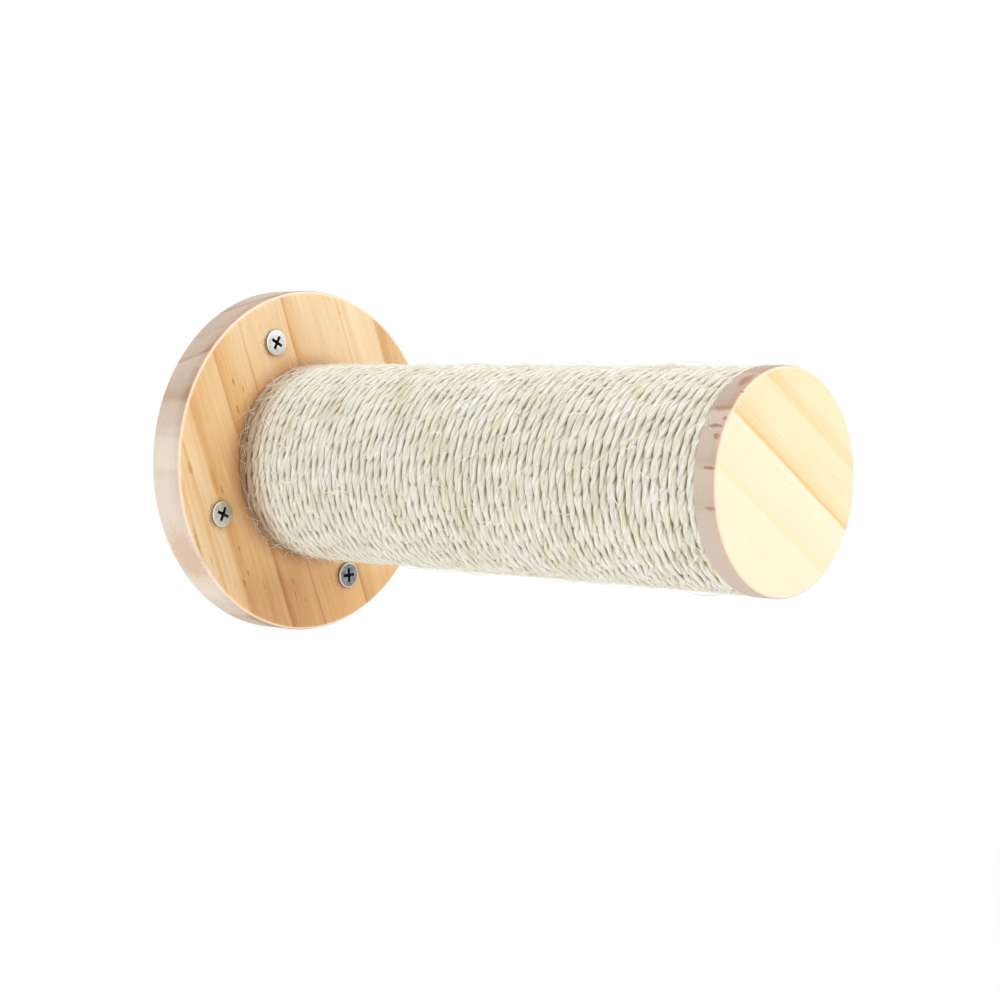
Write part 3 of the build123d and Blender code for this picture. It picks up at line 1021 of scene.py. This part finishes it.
# Growth rings: the place across the board, and how dark the wood is there.
PLATE_RINGS = [
    (-66.0, 0.35), (-58.0, 0.34), (-57.3, 0.52), (-56.6, 0.24), (-53.0, 0.36), (-51.8, 0.55),
    (-51.0, 0.3), (-45.5, 0.4), (-43.6, 0.76), (-40.5, 0.58), (-36.2, 0.52),
    (-35.4, 0.54), (-34.4, 0.5), (-29.0, 0.42), (-28.3, 0.86), (-26.5, 0.6),
    (-14.9, 0.36), (-14.3, 0.7), (-13.6, 0.34), (-4.0, 0.4), (6.2, 0.32), (6.8, 0.84),
    (7.8, 0.52), (13.0, 0.28), (30.5, 0.24), (31.2, 0.44), (32.0, 0.22), (33.8, 0.36),
    (36.0, 0.16), (45.5, 0.28), (46.9, 0.66), (66.0, 0.3),
]
CAP_RINGS = [
    (-40.0, 0.2), (-24.6, 0.16), (-24.0, 0.32), (-21.0, 0.2), (-14.2, 0.1), (-12.9, 0.46),
    (-8.5, 0.26), (2.8, 0.06), (4.0, 0.95), (5.4, 0.66), (9.0, 0.6), (19.6, 0.5),
    (21.0, 0.8), (26.0, 0.6), (40.0, 0.5),
]

# Resin dashes on the plate's face: x, z, width, length, strength and colour.
PLATE_DASHES = (
    (-35.9, 28.4, 0.5, 1.8, 0.75, (168, 108, 58)),
    (-34.0, 18.9, 0.5, 2.4, 0.75, (176, 112, 58)),
    (-31.3, 25.4, 0.4, 1.4, 0.6, (176, 116, 62)),
    (-55.1, -0.6, 0.8, 3.2, 0.6, (196, 132, 70)),
    (-44.7, -5.1, 1.3, 6.5, 0.5, (206, 140, 72)),
    (-41.2, -8.7, 0.5, 2.4, 0.7, (168, 106, 54)),
    (-52.3, -25.5, 0.7, 7.5, 0.55, (186, 122, 64)),
    (-33.7, -29.3, 0.4, 1.6, 0.6, (168, 104, 52)),
    (-31.4, -41.4, 0.5, 2.2, 0.75, (160, 98, 50)),
    (-29.6, -37.9, 0.4, 1.5, 0.6, (166, 104, 54)),
    (-9.1, -42.3, 0.4, 2.0, 0.65, (164, 98, 50)),
    (-7.8, -46.8, 0.4, 2.2, 0.65, (164, 98, 50)),
    (-3.1, -49.5, 0.4, 1.2, 0.6, (164, 98, 50)),
)
# Other marks: place, size, turn in degrees, strength and colour. Three lie round the screws' heads as
# painted shadow.
PLATE_MARKS = [
    *[((x, -14, z), (wide, 3, long), -20, share, tint) for x, z, wide, long, share, tint in PLATE_DASHES],
    ((-51.5, -7.0, -31.5), (14.0, 9.0, 15.0), 0, 0.62, (212, 172, 138)),
    # Painted shadow round the heads of three wall screws.
    ((-17.4, -14, 41.3), (5.9, 3.0, 5.9), 0, 0.6, (160, 92, 48)),
    ((-42.3, -14, -17.3), (5.9, 3.0, 5.9), 0, 0.6, (160, 92, 48)),
    ((16.3, -14, -42.1), (5.9, 3.0, 5.9), 0, 0.6, (160, 92, 48)),
    ((-6.0, -8.0, 59.6), (1.8, 1.6, 2.0), 0, 0.9, (118, 82, 62)),
]
CAP_MARKS = [
    ((-21.3, -221.3, 27.0), (0.9, 0.9, 0.7), 30, 0.85, (190, 134, 84)),
    ((-28.4, -220.8, 19.4), (0.8, 1.2, 1.0), 0, 0.8, (178, 124, 78)),
    ((-34.1, -219.4, 5.4), (0.9, 3.2, 0.7), 0, 0.8, (166, 110, 76)),
    ((-33.9, -220.0, -6.2), (0.9, 2.6, 0.8), 0, 0.7, (176, 120, 86)),
    ((-29.8, -218.4, 17.3), (1.0, 3.4, 0.8), 25, 0.8, (160, 108, 76)),
    ((-31.3, -219.9, 14.4), (1.2, 1.6, 1.4), 0, 0.75, (170, 108, 70)),
    ((-26.3, -217.9, 22.3), (2.4, 2.6, 1.6), 35, 0.6, (176, 132, 96)),
    ((-16.6, -219.0, 30.2), (4.6, 2.2, 1.0), -28, 0.75, (164, 108, 76)),
]


def plate_pine(name):
    return pine(
        name,
        board=dict(
            Across_Angle=math.radians(20.5), Front=-14.0, Tilt=1.65, Tilt_Change=0.0375, Wave=0.35
        ),
        rings=PLATE_RINGS,
        colours=((250, 226, 186), chosen("plate"), (188, 124, 70)),
        # Painted shade below and round the post, painted light at the upper right.
        face_shade=dict(painted_shade_below=0.26, painted_light_above=0.12, beside_post=0.42),
        side=dict(
            back=0.0, painted_rim_light=0.1, top=0.17, low=0.18, darker=(-53.0, -49.5, 0.3),
            arris=0.8, arris_colour=(252, 226, 204),
            colours=((230, 214, 198), (209, 189, 170), (158, 122, 94)),
        ),
        front=-14.0,
        radius=60.0,
        marks=PLATE_MARKS,
    )


def cap_pine(name):
    return pine(
        name,
        board=dict(Across_Angle=math.radians(56.1), Front=-222.0, Tilt=0.05, Tilt_Change=0.0, Wave=0.12),
        rings=CAP_RINGS,
        colours=((252, 237, 207), chosen("cap"), (240, 196, 128)),
        face_shade=dict(painted_shade_below=0.0, painted_light_above=0.0, beside_post=0.0),
        side=dict(
            back=-214.0, painted_rim_light=0.28, top=0.0, low=0.0, darker=(-30.0, -24.0, 0.08),
            arris=0.6, arris_colour=(255, 236, 214),
            colours=((206, 188, 172), (186, 164, 146), (156, 110, 80)),
        ),
        front=-222.0,
        radius=34.5,
        marks=CAP_MARKS,
    )


# Properties that a user would change


def length(name, description, default, low, high):
    return bpy.props.FloatProperty(
        name=name, description=description, default=default, min=low, max=high,
        unit="LENGTH", subtype="DISTANCE",
    )


def count(name, description, default, low, high):
    return bpy.props.IntProperty(name=name, description=description, default=default, min=low, max=high)


def screen_colour(name, description, default):
    return bpy.props.FloatVectorProperty(
        name=name, description=description, default=default, size=3, min=0.0, max=1.0,
        subtype="COLOR_GAMMA",
    )


class POST_PG_sizes(bpy.types.PropertyGroup):
    plate_dia: length(
        "Plate diameter", "Diameter of the wall plate", plate_high[0] - plate_low[0], 0.05, 0.5
    )
    plate_thick: length(
        "Plate thickness", "Thickness of the wall plate", plate_high[1] - plate_low[1], 0.005, 0.05
    )
    plate_round: length("Plate rounding", "Rounding of the plate's front rim", 0.0015, 0.0002, 0.004)
    post_length: length(
        "Post length", "From the plate's front to the cap's back", tube_high[1] - tube_low[1], 0.05, 1.0
    )
    tube_dia: length(
        "Tube diameter", "Outer diameter of the paper tube under the twine",
        tube_high[0] - tube_low[0], 0.02, 0.2,
    )
    cap_dia: length("Cap diameter", "Diameter of the end cap", cap_high[0] - cap_low[0], 0.02, 0.3)
    cap_thick: length("Cap thickness", "Thickness of the end cap", cap_high[1] - cap_low[1], 0.003, 0.05)
    cap_round: length("Cap rounding", "Rounding of the cap's front rim", 0.0012, 0.0002, 0.004)
    twine_dia: length("Twine thickness", "Width that one turn of twine takes up", 0.00327, 0.001, 0.01)
    turns: count("Turns", "Turns of twine along the post", 60, 6, 200)
    lays_in_ten_turns: count("Twists", "Full twists of the twine's strands in ten turns", 98, 20, 400)
    wall_screw_circle: length(
        "Wall screw circle", "Diameter of the circle through the wall screws", 0.09, 0.03, 0.4
    )
    wall_screw_angle: bpy.props.FloatProperty(
        name="First wall screw", description="Angle of the first wall screw from the right",
        default=math.radians(112), subtype="ANGLE", unit="ROTATION",
    )
    wall_head_proud: length(
        "Head height", "How far the wall screws' heads stand out of the plate", 0.0012, 0.0, 0.004
    )
    post_screw_circle: length(
        "Post screw circle", "Diameter of the circle through the post's own screws", 0.036, 0.01, 0.2
    )
    flat_fibres: count("Flat fibres", "Short fibres that lie on the twine", 2100, 0, 6000)
    raised_fibres: count("Raised fibres", "Short fibres that stand off the twine", 700, 0, 4000)
    long_fibres: count("Long fibres", "Long fibres that cross several turns", 420, 0, 1000)
    rear_fibres: count("Rear fibres", "Fibres that stick out over the plate", 60, 0, 400)


class POST_PG_colours(bpy.types.PropertyGroup):
    plate: screen_colour("Plate", "Middle colour of the plate's pine", (0.895, 0.71, 0.48))
    cap: screen_colour("Cap", "Middle colour of the cap's pine", (0.985, 0.9, 0.735))
    sisal: screen_colour("Sisal", "Middle colour of the twine", (0.988, 0.965, 0.893))


# Operators


def drive_screws(kind, screw, places, finishes):
    """A copy of one screw at each place, with a finish of its own."""
    model = wood_screw(f"{kind}_model", **screw)
    for i, (place, finish) in enumerate(zip(places, finishes), start=1):
        add_piece(copy_at(model, f"zinc_{kind}_{i}", place), "zinc_steel", finish, f"{kind}_{i}")
    bpy.data.objects.remove(model)


class POST_OT_wall_plate(bpy.types.Operator):
    """Turned pine disc with softened rims and seats for both sets of screws"""

    bl_idname = "scratching_post.wall_plate"
    bl_label = "Wall Plate"

    def execute(self, context):
        sizes = context.scene.post_sizes
        rounds = (sizes.plate_round, PLATE_BACK_ROUND)
        plate = round_slab("pine_wall_plate", sizes.plate_dia / 2, 0.0, sizes.plate_thick, *rounds)
        wall_hole = screw_hole("wall_hole", WALL_SCREW, WALL_HOLE_RADIUS, WALL_HOLE_DEPTH)
        cutters = copies(wall_hole, wall_screw_places(sizes))
        post_hole = screw_hole("post_hole", POST_SCREW, POST_HOLE_RADIUS, POST_HOLE_DEPTH)
        cutters += copies(post_hole, post_screw_places(sizes))
        cut(plate, join(cutters, "seat_cutters"))
        settle(plate)
        add_piece(plate, "pine_orange", material_for("oiled_pine", plate_pine), "wall_plate")
        return {"FINISHED"}


class POST_OT_wall_screws(bpy.types.Operator):
    """Four countersunk cross-head screws that hold the plate on the wall"""

    bl_idname = "scratching_post.wall_screws"
    bl_label = "Wall Screws"

    def execute(self, context):
        sizes = context.scene.post_sizes
        bright = material_for("zinc_bright", plated_steel, **ZINC_BRIGHT)
        darker_zinc = material_for("zinc_worn", plated_steel, **ZINC_DARKER)
        drive_screws("wall_screw", WALL_SCREW, wall_screw_places(sizes), (bright, bright, darker_zinc, bright))
        return {"FINISHED"}


class POST_OT_post_screws(bpy.types.Operator):
    """Four screws from the plate's back into the rear plug"""

    bl_idname = "scratching_post.post_screws"
    bl_label = "Post Screws"

    def execute(self, context):
        sizes = context.scene.post_sizes
        bright = material_for("zinc_bright", plated_steel, **ZINC_BRIGHT)
        drive_screws("post_screw", POST_SCREW, post_screw_places(sizes), (bright,) * 4)
        return {"FINISHED"}


class POST_OT_inner_parts(bpy.types.Operator):
    """Finishes of the parts inside the post: paper tube, plugs, staples and dowels"""

    bl_idname = "scratching_post.inner_parts"
    bl_label = "Inner Parts"

    def execute(self, context):
        finishes = {
            "tube": material_for("kraft_paper_spiral", kraft),
            "plug": material_for("plug_softwood", plain_wood, **PLUG_WOOD),
            "dowel": material_for("beech_rod", plain_wood, **BEECH),
            "staple": material_for("galvanised_wire", plated_steel, **STAPLE_WIRE),
        }
        for name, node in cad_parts.items():
            for word, finish in finishes.items():
                if word in name:
                    for slot in node.material_slots:
                        slot.material = finish
        return {"FINISHED"}


class POST_OT_twine(bpy.types.Operator):
    """One length of three-strand sisal twine, wound from the plate to the cap"""

    bl_idname = "scratching_post.twine"
    bl_label = "Sisal Twine"

    def execute(self, context):
        sizes = context.scene.post_sizes
        finish = material_for("sisal_twine", sisal)
        length = TURNS_IN_PIECE * 2 * math.pi * twine_circle(sizes)
        pieces = max(1, round(sizes.turns / TURNS_IN_PIECE))
        nodes = ("sisal_rope_rear", "sisal_rope_middle", "sisal_rope_front")
        for i in range(pieces):
            obj, co = straight_twine(sizes, f"sisal_turns_{i + 1}", length)
            lay_on_post(obj, co, sizes, length * i)
            add_piece(obj, "sisal", finish, nodes[i * len(nodes) // pieces])
        return {"FINISHED"}


class POST_OT_loose_fibres(bpy.types.Operator):
    """Loose sisal fibres on the winding and over the plate"""

    bl_idname = "scratching_post.loose_fibres"
    bl_label = "Loose Fibres"

    def execute(self, context):
        sizes = context.scene.post_sizes
        obj = lay_fibres(fibre_model(), sizes)
        add_piece(obj, "sisal", material_for("loose_sisal", loose_fibre))
        settle(obj, 60)
        return {"FINISHED"}


class POST_OT_end_cap(bpy.types.Operator):
    """Turned pine disc that closes the post's free end"""

    bl_idname = "scratching_post.end_cap"
    bl_label = "End Cap"

    def execute(self, context):
        sizes = context.scene.post_sizes
        out = sizes.plate_thick + sizes.post_length
        rounds = (sizes.cap_round, CAP_BACK_ROUND)
        cap = round_slab("pine_end_cap", sizes.cap_dia / 2, out, sizes.cap_thick, *rounds)
        ends = [(DOWEL_HOLE_RADIUS, -CUTTER_RISE), (DOWEL_HOLE_RADIUS, DOWEL_HOLE_DEPTH)]
        reach = Matrix.Translation((DOWEL_CIRCLE_RADIUS, 0, out))
        places = [WALL @ Matrix.Rotation(math.radians(turn), 4, "Z") @ reach for turn in DOWEL_ANGLES]
        cut(cap, join(copies(turned("dowel_hole", ends, 48), places), "dowel_cutters"))
        settle(cap)
        add_piece(cap, "pine_pale", material_for("pale_pine", cap_pine), "end_cap")
        return {"FINISHED"}


# Stage

FLOOR_HEIGHT = -0.26
FLOOR_WIDTH = 12
# Name, place, width, power and colour of each lamp. All of them aim at the middle of the post.
LAMPS = (
    ("right_softbox", (0.75, -1.25, 0.85), 0.9, 4.9, (1.0, 1.0, 1.0)),
    ("top_softbox", (0.1, -0.15, 1.3), 1.2, 5.8, (0.79, 0.9, 1.0)),
    ("left_softbox", (-1.3, -0.35, 0.35), 1.0, 2.4, (1.0, 1.0, 1.0)),
)
LAMP_AIM = Vector((0, -0.11, 0))
SKY_LIGHT = 0.87
CAMERA_PLACE = (-0.562667, -0.635456, 0.037363)
CAMERA_YAW, CAMERA_PITCH = math.radians(-46.733), math.radians(3.511)
CAMERA_LENS = 84.923


def seen_directly(nodes):
    """1 where the camera, a gloss or a clear piece sees the surroundings, 0 where they only light."""
    path = nodes.add("ShaderNodeLightPath").outputs
    mirrored = nodes.math("MAXIMUM", path["Is Glossy Ray"], path["Is Transmission Ray"])
    return nodes.math("MAXIMUM", path["Is Camera Ray"], mirrored)


def white_floor(name):
    """A pale floor whose own light hides its far part from the camera."""
    material, nodes, shader = new_material(name)
    where = nodes.place()
    speckle = nodes.noise(where, 40.0, 3.0)
    colour = nodes.ramp(speckle, [(0.3, (248, 248, 248)), (0.7, (252, 252, 252))])
    nodes.finish(shader, colour, nodes.range(speckle, 0.3, 0.7, 0.75, 0.85))
    x, y, _ = nodes.split(where)
    share = nodes.times(seen_directly(nodes), nodes.range(nodes.distance(x, y), 0.25, 0.7, 0.9, 1.0))
    glow = nodes.add("ShaderNodeEmission", Color=(1, 1, 1, 1), Strength=1.0)
    blend = nodes.add("ShaderNodeMixShader", Fac=share, i1=shader.outputs[0], i2=glow.outputs[0])
    output = next(node for node in material.node_tree.nodes if node.type == "OUTPUT_MATERIAL")
    nodes.feed(output, "Surface", blend.outputs[0])
    return material


class POST_OT_stage(bpy.types.Operator):
    """Pale floor, soft lamps, white surroundings and the camera"""

    bl_idname = "scratching_post.stage"
    bl_label = "Stage"

    def execute(self, context):
        floor = add_shape(bpy.ops.mesh.primitive_plane_add, "studio_floor", size=1.0)
        spread = Matrix.Diagonal((FLOOR_WIDTH, FLOOR_WIDTH, 1, 1))
        floor.data.transform(Matrix.Translation((0, 0, FLOOR_HEIGHT)) @ spread)
        floor.data.materials.append(material_for("floor_white", white_floor))

        scene = context.scene
        world = bpy.data.worlds.new("white_studio")
        scene.world = world
        world.use_nodes = True
        world.node_tree.nodes.clear()
        nodes = Nodes(world.node_tree)
        strength = nodes.range(seen_directly(nodes), 0.0, 1.0, SKY_LIGHT, 1.0, smooth=False)
        sky = nodes.add("ShaderNodeBackground", Color=(1, 1, 1, 1), Strength=strength)
        nodes.add("ShaderNodeOutputWorld", Surface=sky.outputs[0])

        for name, place, size, power, tint in LAMPS:
            deselect_all()
            bpy.ops.object.light_add(type="AREA", location=place)
            lamp = bpy.context.object
            lamp.name = name
            lamp.data.shape = "SQUARE"
            lamp.data.size = size
            lamp.data.energy = power
            lamp.data.color = tint
            lamp.rotation_euler = (LAMP_AIM - Vector(place)).to_track_quat("-Z", "Y").to_euler()

        right = Vector((math.cos(CAMERA_YAW), math.sin(CAMERA_YAW), 0))
        level = Vector((math.sin(CAMERA_YAW), -math.cos(CAMERA_YAW), 0)) * math.cos(CAMERA_PITCH)
        back = level + Vector((0, 0, math.sin(CAMERA_PITCH)))
        turn = Matrix((right, back.cross(right), back)).transposed()
        deselect_all()
        bpy.ops.object.camera_add()
        camera = bpy.context.object
        camera.name = "photo_camera"
        camera.data.sensor_width = 36.0
        camera.data.lens = CAMERA_LENS
        camera.data.clip_start = 0.01
        camera.data.clip_end = 50.0
        camera.matrix_world = Matrix.Translation(CAMERA_PLACE) @ turn.to_4x4()
        scene.camera = camera
        scene.view_settings.view_transform = "Standard"
        return {"FINISHED"}


GROUPS = (make_board_group, make_fibre_group, make_spot_group, make_twine_group, make_metal_group)
PIECES = (
    POST_OT_stage,
    POST_OT_wall_plate,
    POST_OT_wall_screws,
    POST_OT_post_screws,
    POST_OT_inner_parts,
    POST_OT_twine,
    POST_OT_loose_fibres,
    POST_OT_end_cap,
)


class POST_PT_panel(bpy.types.Panel):
    """Lists the post's sizes, colours and pieces"""

    bl_idname = "POST_PT_panel"
    bl_label = "Scratching Post"
    bl_space_type = "VIEW_3D"
    bl_region_type = "UI"
    bl_category = "Scratching Post"

    def draw(self, context):
        layout = self.layout
        for group in (context.scene.post_sizes, context.scene.post_colours):
            box = layout.box()
            for key in group.bl_rna.properties.keys():
                if key not in ("rna_type", "name"):
                    box.prop(group, key)
        for piece in PIECES:
            layout.operator(piece.bl_idname)


CLASSES = (POST_PG_sizes, POST_PG_colours, *PIECES, POST_PT_panel)


def register():
    for cls in CLASSES:
        bpy.utils.register_class(cls)
    bpy.types.Scene.post_sizes = bpy.props.PointerProperty(type=POST_PG_sizes)
    bpy.types.Scene.post_colours = bpy.props.PointerProperty(type=POST_PG_colours)


def unregister():
    del bpy.types.Scene.post_colours
    del bpy.types.Scene.post_sizes
    for cls in reversed(CLASSES):
        bpy.utils.unregister_class(cls)


def main():
    register()
    for make_group in GROUPS:
        make_group()
    for piece in PIECES:
        area, name = piece.bl_idname.split(".")
        getattr(getattr(bpy.ops, area), name)()


if __name__ == "__main__":
    main()
